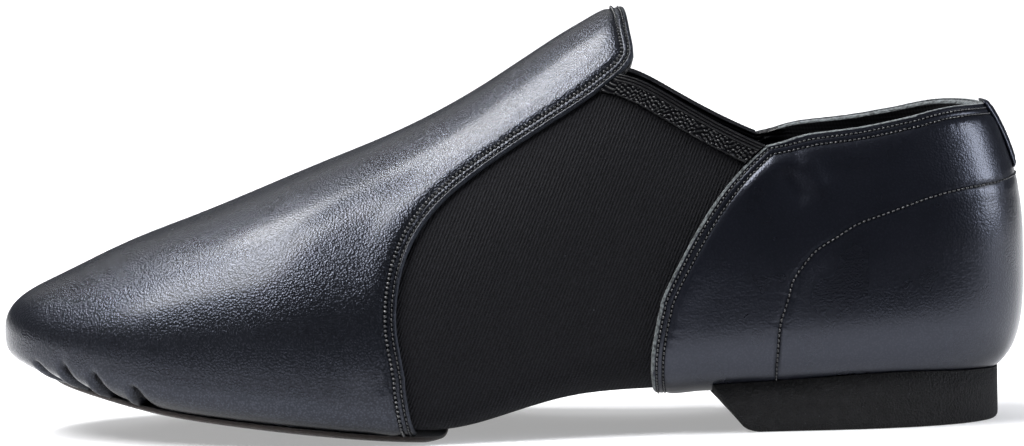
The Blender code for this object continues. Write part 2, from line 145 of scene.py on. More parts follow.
COLLAR = (
    (0.00, 0.688), (0.05, 0.697), (0.10, 0.708), (0.18, 0.719), (0.30, 0.731), (0.45, 0.751),
    (0.62, 0.768), (0.80, 0.769), (1.00, 0.764),
)
LASTED_REACH = 0.64
# Where toe, instep line, vamp seam, quarter front and back seam lie in the count of columns
TOE_COLUMNS = 6
VAMP_COLUMNS = 8
SEAM_COLUMNS = 4
GORE_COLUMNS = 8
QUARTER_COLUMNS = 12
INSTEP_AT = TOE_COLUMNS + VAMP_COLUMNS
SEAM = INSTEP_AT + SEAM_COLUMNS
FRONT = SEAM + GORE_COLUMNS
BACK = FRONT + QUARTER_COLUMNS
# The panel under the arch runs on for so many columns under the pad and under the heel block
ARCH_FROM = SEAM - 2
ARCH_TO = FRONT + 3
LINE_SAMPLES = 121
OUTLINE_SAMPLES = 401
SLOPE_STEP = 0.002


def spline(xs, ys):
    """A natural cubic spline through the points, as a function of an array."""
    xs = np.array(xs, float)
    ys = np.array(ys, float)
    flat = ys.ndim == 1
    if flat:
        ys = ys[:, None]
    count = len(xs)
    gap = np.diff(xs)
    slope = np.diff(ys, axis=0) / gap[:, None]
    system = np.eye(count)
    load = np.zeros_like(ys)
    for i in range(1, count - 1):
        system[i, i - 1 : i + 2] = gap[i - 1], 2 * (gap[i - 1] + gap[i]), gap[i]
        load[i] = 6 * (slope[i] - slope[i - 1])
    bend = np.linalg.solve(system, load)

    def value(x):
        x = np.asarray(x, float)
        i = np.clip(np.searchsorted(xs, x) - 1, 0, count - 2)
        after = (xs[i + 1] - x)[..., None]
        before = (x - xs[i])[..., None]
        width = gap[i][..., None]
        curve = (bend[i] * after**3 + bend[i + 1] * before**3) / (6 * width)
        curve += (ys[i] / width - bend[i] * width / 6) * after
        curve += (ys[i + 1] / width - bend[i + 1] * width / 6) * before
        return curve[..., 0] if flat else curve

    return value


def plan_outline():
    """Each side's plan outline as points (along, across) from the toe's tip to the heel's back."""
    rows = np.array(OUTLINE)
    outer = np.column_stack([rows[::-1, 0] * LENGTH, -rows[::-1, 1] * BALL_WIDTH])
    inner = np.column_stack([rows[:, 0] * LENGTH, rows[:, 2] * BALL_WIDTH])
    ring = np.vstack([[[LENGTH, TOE_TIP_SIDE * BALL_WIDTH]], outer, [[0, 0]], inner])
    turns = np.vstack([ring, ring, ring, ring[:1]])
    run = run_of(turns)
    path = spline(run, turns)
    toe = len(ring)
    heel = toe + 1 + len(outer)
    return {
        -1: path(np.linspace(run[toe], run[heel], OUTLINE_SAMPLES)),
        1: path(np.linspace(run[2 * toe], run[heel], OUTLINE_SAMPLES)),
    }


def run_of(points):
    """Length run along a line of points, from its first."""
    return np.concatenate([[0], np.cumsum(np.linalg.norm(np.diff(points, axis=0), axis=1))])


SIDES = plan_outline()
SIDE_MIDDLE = (SIDES[-1][:, 1].min() + SIDES[1][:, 1].max()) / 2
sections = spline([row[0] for row in SECTIONS], [row[1:] for row in SECTIONS])


def outline_point(station, side):
    """Point of one side's plan outline at a station."""
    outline = SIDES[side]
    shares = outline[:, 0] / LENGTH
    count = np.arange(len(outline), dtype=float)
    toe = np.interp(-TOE_AXIS, -shares, count)
    heel = np.interp(-HEEL_AXIS, -shares, count)
    straight = np.interp(-station, -shares, count)
    toward_toe = toe * (TOE_MIDDLE - station) / TOE_TURN
    toward_heel = count[-1] - (count[-1] - heel) * (station - HEEL_MIDDLE) / HEEL_TURN
    at = np.where(station > TOE_AXIS, toward_toe, straight)
    at = np.where(station < HEEL_AXIS, toward_heel, at)
    return np.interp(at, count, outline[:, 0]), np.interp(at, count, outline[:, 1])


def round_share(reach, station):
    """Share round the section, below the widest line, where it has this reach from the middle."""
    power = sections(np.clip(station, HEEL_AXIS, TOE_AXIS))[..., 4]
    return np.arcsin(np.clip(reach, 0, 1) ** (power / 2)) / np.pi


def last_point(station, t, side):
    """Point of the leather's outer face, for a station and a share round the section."""
    station = np.asarray(station, float)
    t = np.asarray(t, float)
    along, across = outline_point(station, side)
    axis = np.clip(station, HEEL_AXIS, TOE_AXIS) * LENGTH
    base = sections(axis / LENGTH)
    middle = base[..., 0] * BALL_WIDTH
    low = t < 0.5
    power = np.where(low, base[..., 4], base[..., 5])
    reach = np.abs(np.sin(t * np.pi)) ** (2 / power)
    lift = np.abs(np.cos(t * np.pi)) ** (2 / power)
    x = axis + (along - axis) * reach
    y = middle + (across - middle) * reach
    here = sections(x / LENGTH)
    floor = here[..., 1] * TONGUE_HEIGHT
    height = here[..., 2] * TONGUE_HEIGHT - floor
    widest = here[..., 3]
    share = np.where(low, widest * (1 - lift), widest + (1 - widest) * lift)
    return np.stack([LENGTH / 2 - x, y - SIDE_MIDDLE, floor + height * share], -1)


def last_normal(station, t, side):
    """Unit normal of the last, outward, from small steps along and round it."""
    station = np.clip(station, HEEL_MIDDLE + SLOPE_STEP, TOE_MIDDLE - SLOPE_STEP)
    t = np.clip(t, 2 * SLOPE_STEP, 1 - 2 * SLOPE_STEP)
    along = last_point(station - SLOPE_STEP, t, side) - last_point(station + SLOPE_STEP, t, side)
    around = last_point(station, t + SLOPE_STEP, side) - last_point(station, t - SLOPE_STEP, side)
    normal = side * np.cross(around, along)
    return normal / np.linalg.norm(normal, axis=-1, keepdims=True)


def line_run(line, side=-1):
    """Length run on the last along samples (station, t) of a line."""
    return run_of(last_point(line[:, 0], line[:, 1], side))


def along_line(line, run, at):
    """The numbers of a line's samples, read off at other lengths run."""
    return np.column_stack([np.interp(at, run, values) for values in line.T])


def even_line(samples):
    """Samples (station, t) of a line, spread evenly by their run on the last."""
    run = line_run(samples)
    return along_line(samples, run, np.linspace(0, run[-1], LINE_SAMPLES))


def design_line(rows):
    """Samples (station, t) of a line of the design."""
    corners = [list(row) for row in rows]
    if corners[0][1] is None:
        corners[0][1] = float(round_share(LASTED_REACH, corners[0][0]))
    corners = np.array(corners)
    run = line_run(corners)
    return even_line(spline(run, corners)(np.linspace(0, run[-1], LINE_SAMPLES)))


def eased_line(samples, reach=3.5 * MM):
    """A line of the design with its bend at the widest line eased, seen from the side."""
    points = last_point(samples[:, 0], samples[:, 1], -1)
    run = run_of(points)
    x = points[:, 0]
    behind = 2 * x[0] - x[:0:-1]
    ahead = 2 * x[-1] - x[-2::-1]
    longer = np.concatenate([behind, x, ahead])
    spread = reach * (len(run) - 1) / run[-1]
    weight = np.exp(-((np.arange(-len(run) + 1, len(run)) / spread) ** 2) / 2)
    smooth = np.convolve(longer, weight / weight.sum(), "valid")
    return even_line(np.column_stack([samples[:, 0] + (x - smooth) / LENGTH, samples[:, 1]]))


def upright_line(station, top):
    """Samples (station, t) straight round the section, from the lasted edge to the top."""
    t = np.linspace(float(round_share(LASTED_REACH, station)), top, 6 * LINE_SAMPLES)
    return even_line(np.column_stack([np.full(len(t), station), t]))


def between(left, right, share, top):
    """The column at a share of the way between two lines, ending at the given top."""
    line = (1 - share) * left + share * right
    rise = np.linspace(0, 1, LINE_SAMPLES)
    line = line + rise[:, None] * (np.array(top) - line[-1])
    edge = float(round_share(LASTED_REACH, line[0, 0]))
    line[:, 1] += (1 - rise) * (edge - line[0, 1])
    return line


TOE_LINE = upright_line(TOE_AXIS, 1.0)
INSTEP = design_line(INSTEP_LINE)
VAMP_EDGE = eased_line(design_line(VAMP_SEAM))
QUARTER_EDGE = eased_line(design_line(QUARTER_FRONT))
BACK_LINE = upright_line(HEEL_MIDDLE, COLLAR[-1][1])
TONGUE_TOP = design_line(TONGUE_EDGE)
GORE_TOP = design_line(GORE_EDGE)
collar_height = spline([row[0] for row in COLLAR], [row[1] for row in COLLAR])


def rail_point(rail, share):
    """Point (station, t) at a share of the way along a top edge."""
    place = share * (LINE_SAMPLES - 1)
    return [np.interp(place, np.arange(LINE_SAMPLES), rail[:, k]) for k in (0, 1)]


def column_line(column):
    """Samples (station, t) of one column, which may lie between two whole ones."""
    if column <= TOE_COLUMNS:
        return upright_line(TOE_MIDDLE - TOE_TURN * column / TOE_COLUMNS, 1.0)
    if column <= INSTEP_AT:
        share = (column - TOE_COLUMNS) / VAMP_COLUMNS
        return between(TOE_LINE, INSTEP, share, (1 - share) * TOE_LINE[-1] + share * INSTEP[-1])
    if column <= SEAM:
        share = (column - INSTEP_AT) / SEAM_COLUMNS
        return between(INSTEP, VAMP_EDGE, share, rail_point(TONGUE_TOP, share))
    if column <= FRONT:
        share = (column - SEAM) / GORE_COLUMNS
        return between(VAMP_EDGE, QUARTER_EDGE, share, rail_point(GORE_TOP, share))
    share = (column - FRONT) / QUARTER_COLUMNS
    station = (1 - share) * QUARTER_EDGE[-1, 0] + share * HEEL_MIDDLE
    return between(QUARTER_EDGE, BACK_LINE, share, (station, float(collar_height(share))))


def steps(*spans):
    """Values through spans of (from, to, number of steps), each value once."""
    values = [np.linspace(start, end, count + 1)[:-1] for start, end, count in spans]
    return np.concatenate(values + [[spans[-1][1]]])


# Rows near a top edge are this far below it; the rows under them are even
TOP_ROWS = MM * np.concatenate([np.arange(0, 4.2, 0.32), (4.6, 5.1, 5.7, 6.4)])


def wall_grid(columns, rows, side):
    """(station, t) for each column and row, from the lasted edge up to the top edge."""
    grid = []
    for column in columns:
        line = column_line(column)
        run = line_run(line, side)
        low = np.linspace(0, run[-1] - TOP_ROWS[-1], rows + 1)[:-1]
        grid.append(along_line(line, run, np.concatenate([low, run[-1] - TOP_ROWS[::-1]])))
    return np.array(grid)


def under_grid(stations, reaches, rows):
    """(station, t) under the foot, from the middle out to each station's reach."""
    reach = np.linspace(0, 1, rows + 1)[None, :] * np.reshape(reaches, (-1, 1))
    station = np.repeat(np.reshape(stations, (-1, 1)), rows + 1, axis=1)
    return np.stack([station, round_share(reach, station)], -1)


def patch(grid, side):
    """One side's places (signed run, t), points, normals and faces from a grid."""
    station, t = grid[..., 0], grid[..., 1]
    columns, rows = station.shape
    first = (np.arange(columns - 1)[:, None] * rows + np.arange(rows - 1)).ravel()
    faces = np.column_stack([first, first + 1, first + rows + 1, first + rows])
    if side == -1:
        faces = faces[:, ::-1]
    places = np.stack([side * (TOE_MIDDLE - station) * LENGTH, t], -1).reshape(-1, 2)
    points = last_point(station, t, side).reshape(-1, 3)
    normals = last_normal(station, t, side).reshape(-1, 3)
    return places, points, normals, faces


def weld(patches):
    """Patches joined where their points meet: places, points, normals, and faces as tuples."""
    data = np.vstack([np.hstack(part[:3]) for part in patches])
    _, index = np.unique(np.round(data[:, 2:5], 6), axis=0, return_inverse=True)
    index = index.reshape(-1)
    mean = np.zeros((index.max() + 1, 8))
    np.add.at(mean, index, data)
    mean /= np.bincount(index)[:, None]
    normals = mean[:, 5:] / np.linalg.norm(mean[:, 5:], axis=1, keepdims=True)
    faces = []
    start = 0
    for part in patches:
        for face in index[part[3] + start].tolist():
            corners = tuple(dict.fromkeys(face))
            if len(corners) > 2:
                faces.append(corners)
        start += len(part[0])
    return mean[:, :2], mean[:, 2:5], normals, faces


def border(faces):
    """Edges that only one face has, in that face's order."""
    seen = set()
    for face in faces:
        seen.update(zip(face, face[1:] + face[:1]))
    return [edge for edge in seen if edge[::-1] not in seen]


def two_faced(outer, inner, faces):
    """Points and faces of a sheet: its outer face, its inner face turned about, and its rim."""
    count = len(outer)
    back = [tuple(corner + count for corner in reversed(face)) for face in faces]
    rims = [(b, a, a + count, b + count) for a, b in border(faces)]
    return np.vstack([outer, inner]), faces + back + rims


def add_piece(name, points, faces, materials, numbers=None, grooves=None, *, replaces=()):
    """A smooth-shaded piece of the shoe, with a material's number for each face.

    grooves says for each point how deep it lies in a groove, from 0 to 1; its material paints shade there.
    """
    mesh = bpy.data.meshes.new(name)
    mesh.from_pydata(np.asarray(points).tolist(), [], faces)
    if grooves is not None:
        mesh.attributes.new("groove", "FLOAT", "POINT").data.foreach_set("value", grooves)
    for cover in materials:
        mesh.materials.append(cover)
    if numbers is not None:
        mesh.polygons.foreach_set("material_index", np.asarray(numbers, np.int32))
    mesh.polygons.foreach_set("use_smooth", np.ones(len(faces), bool))
    mesh.update()
    piece = placed(name, mesh)
    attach(piece, "root")
    if replaces:
        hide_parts(*replaces)


def linear(code):
    """Linear colour of an sRGB hex code."""
    values = [int(code[i : i + 2], 16) / 255 for i in (1, 3, 5)]
    return [v / 12.92 if v <= 0.04045 else ((v + 0.055) / 1.055) ** 2.4 for v in values] + [1.0]


def node(tree, kind, inputs=None, **settings):
    """A shader node with its settings. An input is a value, or another node's output to link."""
    made = tree.nodes.new("ShaderNode" + kind)
    for name, value in settings.items():
        setattr(made, name, value)
    for name, value in (inputs or {}).items():
        if isinstance(value, bpy.types.NodeSocket):
            tree.links.new(value, made.inputs[name])
        else:
            made.inputs[name].default_value = value
    return made


def material(name, **sockets):
    """A material with the shader's sockets set, its node tree and its shader."""
    made = bpy.data.materials.new(name)
    made.use_nodes = True
    shader = made.node_tree.nodes["Principled BSDF"]
    for socket, value in sockets.items():
        shader.inputs[socket.replace("_", " ")].default_value = value
    return made, made.node_tree, shader


def coloured(tree, shader, colour, relief, strength, depth):
    """Leads a colour into the shader, and a relief of the given depth as a bump."""
    bump = node(tree, "Bump", {"Height": relief, "Strength": strength, "Distance": depth})
    tree.links.new(colour, shader.inputs["Base Color"])
    tree.links.new(bump.outputs[0], shader.inputs["Normal"])


def mottled(name, size, detail, dark, light, strength=0.0, depth=0.0, span=(0.0, 1.0), **sockets):
    """A material whose colour and relief follow one noise, the colour over a span of its values."""
    made, tree, shader = material(name, **sockets)
    place = node(tree, "TexCoord").outputs["Object"]
    pattern = node(tree, "TexNoise", {"Vector": place, "Scale": 1 / size, "Detail": detail}).outputs[0]
    shade = node(tree, "MapRange", {"Value": pattern, "From Min": span[0], "From Max": span[1]})
    colour = node(tree, "Mix", {0: shade.outputs[0], 6: linear(dark), 7: linear(light)}, data_type="RGBA")
    coloured(tree, shader, colour.outputs[2], pattern, strength, depth)
    return made, tree, shader


def wave(tree, place, direction, spacing):
    """Even ribs across a direction, as a height from -1 to 1."""
    along = node(tree, "VectorMath", {0: place, 1: direction}, operation="DOT_PRODUCT").outputs["Value"]
    turn = node(tree, "Math", {0: along, 1: 2 * math.pi / spacing}, operation="MULTIPLY").outputs[0]
    return node(tree, "Math", {0: turn}, operation="SINE").outputs[0]


def specked(tree, place, colour, spacing, size, tint):
    """The colour with small specks of lint or dust strewn over it; size is a share of the spacing."""
    strewn = node(tree, "TexVoronoi", {"Vector": place, "Scale": 1 / spacing}).outputs["Distance"]
    speck = node(tree, "MapRange", {"Value": strewn, "From Min": size, "From Max": 0.6 * size}).outputs[0]
    mixed = node(tree, "Mix", {0: speck, 6: colour, 7: linear(tint)}, data_type="RGBA")
    return mixed.outputs[2]


# Nylon and elastane twill, knitted fine and matt: ribs 0.75 mm apart run up toward the heel at 67
# degrees, a faint fuzz greys the cloth at grazing angles, and a few specks of lint catch light
RIB_SPACING = 0.75 * MM
RIB_ANGLE = math.radians(67)
gore_cloth, tree, shader = material(
    "nylon_elastane_twill",
    Roughness=0.80,
    IOR=1.5,
    Specular_IOR_Level=0.12,
    Sheen_Weight=0.03,
    Sheen_Roughness=0.5,
    Sheen_Tint=linear("#8a90a0"),
)
place = node(tree, "TexCoord").outputs["Object"]
ribs = wave(tree, place, (math.sin(RIB_ANGLE), 0, -math.cos(RIB_ANGLE)), RIB_SPACING)
fuzz = node(tree, "TexNoise", {"Vector": place, "Scale": 1 / (0.4 * MM), "Detail": 2.0}).outputs[0]
uneven = node(tree, "Math", {0: fuzz, 1: 1.6}, operation="MULTIPLY").outputs[0]
relief = node(tree, "Math", {0: ribs, 1: 0.30, 2: uneven}, operation="MULTIPLY_ADD").outputs[0]
# The colour follows the fuzz's random tone, and is also lighter on the ribs' tops and darker between them: a
# painted highlight and shade on the ribs
shade = node(tree, "MapRange", {"Value": relief, "From Min": 0.45, "From Max": 1.30}).outputs[0]
colour = node(tree, "Mix", {0: shade, 6: linear("#060608"), 7: linear("#1d1d21")}, data_type="RGBA")
dusted = specked(tree, place, colour.outputs[2], 6.0 * MM, 0.030, "#55585f")
coloured(tree, shader, dusted, relief, 1.0, 0.28 * MM)

# Cotton drill lining, woven: threads 0.5 mm apart, drawn at 0.8 mm so that they show, plain black
THREAD_SPACING = 0.8 * MM
lining_cloth, tree, shader = material(
    "cotton_drill_lining", Roughness=0.92, IOR=1.5, Specular_IOR_Level=0.25, Sheen_Weight=0.12
)
place = node(tree, "TexCoord").outputs["Object"]
warp, weft = (wave(tree, place, axis, THREAD_SPACING) for axis in ((1, 0, 0.35), (0, 0.35, 1)))
weave = node(tree, "Math", {0: warp, 1: weft}, operation="ADD").outputs[0]
shade = node(tree, "MapRange", {"Value": weave, "From Min": -2.0, "From Max": 2.0}).outputs[0]
colour = node(tree, "Mix", {0: shade, 6: linear("#141416"), 7: linear("#29292d")}, data_type="RGBA")
coloured(tree, shader, colour.outputs[2], shade, 0.7, 0.12 * MM)

# The split flesh side of leather where it is cut: loose grey fibres, rough and dry
cut_edge, _, _ = mottled(
    "cut_leather_fibres", 0.8 * MM, 3.0, "#1b1e20", "#646a6c", 0.9, 0.25 * MM, (0.35, 0.68),
    Roughness=0.9, IOR=1.5, Specular_IOR_Level=0.3, Sheen_Weight=0.25,
)

# Braided polyester over rubber: black, with small hard glints on its cords and crinkles
elastic_weave, tree, shader = mottled(
    "braided_polyester_elastic", 0.35 * MM, 2.0, "#040405", "#141417", 1.0, 0.12 * MM,
    Roughness=0.33, IOR=1.52,
)
# Painted shade in the gaps between cords and crinkles: the groove share takes the specular off there
groove = node(tree, "Attribute", attribute_name="groove").outputs["Fac"]
shine = node(tree, "Math", {0: groove, 1: -0.5, 2: 0.5}, operation="MULTIPLY_ADD").outputs[0]
tree.links.new(shine, shader.inputs["Specular IOR Level"])

BODY_COLUMNS = steps((0, SEAM - 0.6, 44), (SEAM - 0.6, FRONT + 0.6, 96), (FRONT + 0.6, BACK, 52))
BODY_ROWS = 62
ARCH_ROWS = 16
INSIDE_RIB = 1.05 * MM
INSIDE_RIB_HEIGHT = 0.26 * MM
patches = []
for side in (-1, 1):
    patches.append(patch(wall_grid(BODY_COLUMNS, BODY_ROWS, side), side))
    arch = [column for column in BODY_COLUMNS if ARCH_FROM <= column <= ARCH_TO]
    arch_stations = [column_line(column)[0, 0] for column in arch]
    patches.append(patch(under_grid(arch_stations, [LASTED_REACH] * len(arch), ARCH_ROWS), side))
_, points, normals, faces = weld(patches)


def near(points, line):
    """Distance from each point to a line of points, and the number of the nearest one."""
    tree = KDTree(len(line))
    for i, spot in enumerate(line):
        tree.insert(spot, i)
    tree.balance()
    found = [tree.find(point) for point in points]
    return np.array([f[2] for f in found]), np.array([f[1] for f in found])


def fine_line(samples, side, spacing=0.15 * MM):
    """Points and normals along samples (station, t), a small step apart."""
    run = line_run(samples, side)
    station, t = along_line(samples, run, np.linspace(0, run[-1], int(run[-1] / spacing) + 2)).T
    return last_point(station, t, side), last_normal(station, t, side)


# Inside, the elastic's woven ribs run along the top of each gore
gore_rim = np.vstack([fine_line(GORE_TOP, side)[0] for side in (-1, 1)])
rim_distance, _ = near(points, gore_rim)
banded = rim_distance < BAND_WIDTH
ribs = np.cos(2 * np.pi * rim_distance / INSIDE_RIB)
inside = banded * INSIDE_RIB_HEIGHT * ribs
face_height = -(LEATHER + FIT)
outer = points + normals * face_height
inner = points + normals * (face_height - BODY_WALL - inside[:, None])
shell, every = two_faced(outer, inner, faces)
add_piece(
    "stretch_body",
    shell,
    every,
    [gore_cloth, lining_cloth, cut_edge, elastic_weave],
    [0] * len(faces)
    + [3 if banded[list(face)].all() else 1 for face in faces]
    + [3 if banded[rim[0]] else 2 for rim in every[2 * len(faces) :]],
    replaces=["upper"],
    # Painted shade in the inside band's rib gaps, through their groove share
    grooves=np.tile(banded * (0.5 - 0.5 * ribs), 2),
)


# Vamp: one piece of smooth-grained leather over toe and instep, lasted under the toe in small
# pleats, its edge sewn down on the gore cloth and round the tongue with two rows of stitches

# Full-grain cowhide, finished with a satin top coat: a fine pebble grain breaks up a broad soft
# highlight, and the cut edge is dyed black
GRAIN = 0.52 * MM


def smooth_leather(name, dark, light, grain, depth, roughness, coat):
    """Pigmented leather with a pebble grain of the given size and depth.

    Toward the sole it is drawn tight over the last, so its bump fades. Raised pebbles glint more
    than the gaps between them. Grooves are rougher and get painted shade: no coat, less specular.
    """
    made, tree, shader = material(
        name,
        Roughness=roughness,
        IOR=1.5,
        Specular_IOR_Level=0.5,
        # The bluish specular tint is painted light: it gives every reflection in the leather a cool colour
        # that stands in for cool light
        Specular_Tint=linear("#dbe4ff"),
        Coat_Weight=coat,
        Coat_Roughness=0.22,
        Coat_IOR=1.5,
    )
    place = node(tree, "TexCoord").outputs["Object"]
    warp = node(tree, "TexNoise", {"Vector": place, "Scale": 0.8 / grain, "Detail": 1.0}).outputs["Color"]
    pushed = node(
        tree, "VectorMath", {0: warp, 1: (0.16 * grain,) * 3, 2: place}, operation="MULTIPLY_ADD"
    ).outputs[0]
    cells = node(
        tree, "TexVoronoi", {"Vector": pushed, "Scale": 1 / grain, "Smoothness": 0.35}, feature="SMOOTH_F1"
    ).outputs["Distance"]
    pores = node(tree, "TexNoise", {"Vector": place, "Scale": 2.2 / grain, "Detail": 2.0}).outputs[0]
    grain_height = node(tree, "Math", {0: pores, 1: 0.35, 2: cells}, operation="MULTIPLY_ADD").outputs[0]
    broad = node(tree, "TexNoise", {"Vector": place, "Scale": 1 / (14 * MM), "Detail": 3.0}).outputs[0]
    colour = node(tree, "Mix", {0: broad, 6: linear(dark), 7: linear(light)}, data_type="RGBA")
    height_up = node(tree, "SeparateXYZ", {"Vector": place}).outputs["Z"]
    drawn = {"From Min": 12 * MM, "From Max": 40 * MM, "To Min": 0.2}
    lasted = node(tree, "MapRange", {"Value": height_up, **drawn}).outputs[0]
    bump = node(tree, "Bump", {"Height": grain_height, "Strength": lasted, "Distance": depth}, invert=True)
    groove = node(tree, "Attribute", attribute_name="groove").outputs["Fac"]
    handled = {"From Min": 0.3, "From Max": 0.7, "To Min": roughness - 0.015, "To Max": roughness + 0.02}
    gloss = node(tree, "MapRange", {"Value": broad, **handled}).outputs[0]
    glint = 1.2 * depth / MM
    raised = {"From Min": 0.25, "From Max": 0.75, "To Min": 0.5 + glint, "To Max": 0.5 - glint}
    pebbles = node(tree, "MapRange", {"Value": grain_height, **raised}).outputs[0]
    # Painted shade in grooves and folds: the groove share takes off most of the specular and all the coat,
    # and adds roughness
    wear_and_groove_shade = (("Roughness", 0.4, gloss), ("Specular IOR Level", -0.6, pebbles), ("Coat Weight", -coat, coat))
    for socket, change, whole in wear_and_groove_shade:
        value = node(tree, "Math", {0: groove, 1: change, 2: whole}, operation="MULTIPLY_ADD").outputs[0]
        tree.links.new(value, shader.inputs[socket])
    tree.links.new(colour.outputs[2], shader.inputs["Base Color"])
    tree.links.new(bump.outputs[0], shader.inputs["Normal"])
    return made


vamp_leather = smooth_leather("satin_grain_cowhide", "#0d0e11", "#15161a", GRAIN, 0.155 * MM, 0.27, 0.20)

# Bonded polyester sewing thread, black: a tight smooth twist with small pale glints
thread, _, _ = mottled(
    "bonded_polyester_thread", 0.25 * MM, 1.0, "#08090a", "#24262a", 0.8, 0.06 * MM,
    Roughness=0.34, IOR=1.55, Specular_IOR_Level=0.9,
)

STITCH_ROWS = (1.15 * MM, 2.75 * MM)
STITCH_PITCH = 1.15 * MM
GROOVE_DEPTH = 0.22 * MM
GROOVE_WIDTH = 0.38 * MM
PUFF_HEIGHT = 0.34 * MM
PUCKER_DEPTH = 0.13 * MM
PUCKER_PITCH = 3.1 * MM
LIP_WIDTH = 4.0 * MM


def ease(x, start, end):
    """A smooth step from 0 at start to 1 at end."""
    s = np.clip((x - start) / (end - start), 0, 1)
    return s * s * (3 - 2 * s)


def hump(x, width):
    """A soft hump, 1 in its middle, whose half width is given."""
    return np.exp(-((x / width) ** 2))


def wavering(run, pitch):
    """An uneven ripple along a seam, between -1 and 1."""
    turn = 2 * np.pi * run / pitch
    return (np.sin(turn) + 0.7 * np.sin(1.37 * turn + 1.1) + 0.5 * np.sin(0.61 * turn + 2.3)) / 2.2


def sewn_relief(distance, run, rows, bevel, drop, puff=1.0, pucker=1.0):
    """Leather near its sewn edge: height, with the edge worn off, and the grooves' share of painted shade."""
    height = -drop * (1 - np.clip(distance / bevel, 0, 1)) ** 2
    groove = sum(hump(distance - row, GROOVE_WIDTH) for row in rows)
    height -= GROOVE_DEPTH * groove
    past = distance - rows[-1]
    swell = ease(past, 0.1 * MM, 1.9 * MM) * (1 - ease(past, 2.6 * MM, 9.0 * MM))
    pull = ease(past, -0.1 * MM, 0.8 * MM) * (1 - ease(past, 1.5 * MM, 5.5 * MM))
    height += puff * PUFF_HEIGHT * swell + pucker * PUCKER_DEPTH * pull * wavering(run, PUCKER_PITCH)
    return height, groove


def used_only(count, faces):
    """Which of the points the faces use, and the faces with those points' new numbers."""
    used = np.zeros(count, bool)
    for face in faces:
        used[list(face)] = True
    number = (np.cumsum(used) - 1).tolist()
    return used, [tuple(number[corner] for corner in face) for face in faces]


def leather_shell(name, columns, rows, edge, relief, materials, edge_width, replaced):
    """Leather of real thickness along its edges: a fine outer face, the rim and a lip behind it.

    The second material covers the edge to its width. Returns the outer face, to lay stitches on.
    """
    grids = [patch(wall_grid(columns, rows, side), side) for side in (-1, 1)]
    places, points, normals, faces = weld(grids)
    distance, nearest = near(points, edge)
    height, groove = relief(places, points, distance, run_of(edge)[nearest])
    outer = points + normals * height[:, None]
    count = len(points)
    close = distance < LIP_WIDTH
    at_edge = distance < edge_width
    back = [
        tuple(corner + count for corner in reversed(face)) for face in faces if close[list(face)].all()
    ]
    rims = [(b, a, a + count, b + count) for a, b in border(faces)]
    used, every = used_only(2 * count, faces + back + rims)
    add_piece(
        name,
        np.vstack([outer, points - normals * LEATHER])[used],
        every,
        materials,
        [int(at_edge[list(face)].all()) for face in faces] + [1] * (len(back) + len(rims)),
        replaces=[replaced],
        grooves=np.clip(np.tile(groove, 2)[used], 0, 1),
    )
    return BVHTree.FromPolygons(outer.tolist(), faces)


# Pleats under the toe: run of the outline from the toe's middle in mm (outer side minus), share
# round the section at the upper end, lean toward the heel going down in mm, and depth in mm
PLEATS = (
    (-3.0, 0.50, 6.0, 1.00), (-21.8, 0.47, 1.0, 1.30), (-31.0, 0.51, 0.8, 1.70),
    (-40.0, 0.50, 1.6, 2.20), (-51.2, 0.47, 1.6, 1.90), (6.5, 0.45, 2.0, 0.60), (16.0, 0.44, 0.8, 0.90),
    (26.5, 0.46, 1.2, 1.05), (37.0, 0.44, 1.4, 1.15), (48.0, 0.40, 1.0, 0.70),
)
PLEAT_FOOT = 0.14


def pleat_relief(places):
    """Folds of leather gathered under the toe: height, and share in the folds, which get painted shade.

    Each fold has a steep side with a lip toward the toe and a slack side toward the heel.
    """
    height = np.zeros(len(places))
    fold = np.zeros(len(places))
    for start, top, lean, depth in PLEATS:
        down = (top - places[:, 1]) / (top - PLEAT_FOOT)
        middle = start * MM + np.sign(start) * lean * MM * down
        behind = (places[:, 0] - middle) * np.sign(start)
        spread = (1.1 + 3.0 * np.clip(down, 0, 1)) * MM
        dent = ease(down, 0.0, 0.22) * hump(behind, np.where(behind > 0, spread, 0.85 * MM))
        lip = ease(down, 0.1, 0.7) * hump(behind + 1.9 * MM, 1.2 * MM)
        height += depth * MM * (0.38 * lip - 1.1 * dent)
        # The share in the folds gives the valleys painted shade in the leather's material
        fold += 0.9 * dent**2
    return height, fold


def on_last(x, z, side):
    """Point of one side of the last that is seen at x and z from straight beside it."""
    off = (PROFILE[side][..., 0] - x) ** 2 + (PROFILE[side][..., 2] - z) ** 2
    return PROFILE[side][np.unravel_index(off.argmin(), off.shape)]


profile_station, profile_t = np.meshgrid(
    np.linspace(HEEL_MIDDLE, TOE_MIDDLE, 700), np.linspace(0.12, 1.0, 400), indexing="ij"
)
PROFILE = {side: last_point(profile_station, profile_t, side) for side in (-1, 1)}


def drawn_line(rows, side, spacing=0.3 * MM):
    """A smooth line on the last through rows of (distance from the heel's back, height) in mm."""
    corners = np.array([on_last(LENGTH / 2 - x * MM, z * MM, side) for x, z in rows])
    run = run_of(corners)
    curve = spline(run, corners)(np.linspace(0, run[-1], 4 * len(rows)))
    run = run_of(curve)
    return along_line(curve, run, np.linspace(0, run[-1], int(run[-1] / spacing) + 2))


def crease_relief(points, creases):
    """Soft troughs (minus) and ridges (plus), each along a drawn line that fades at both ends."""
    height = np.zeros(len(points))
    for side, rows, width, rise in creases:
        line = drawn_line(rows, side)
        distance, nearest = near(points, line)
        share = nearest / (len(line) - 1)
        fade = ease(share, 0, 0.35) * (1 - ease(share, 0.65, 1))
        height += rise * MM * fade * hump(distance, width * MM)
    return height


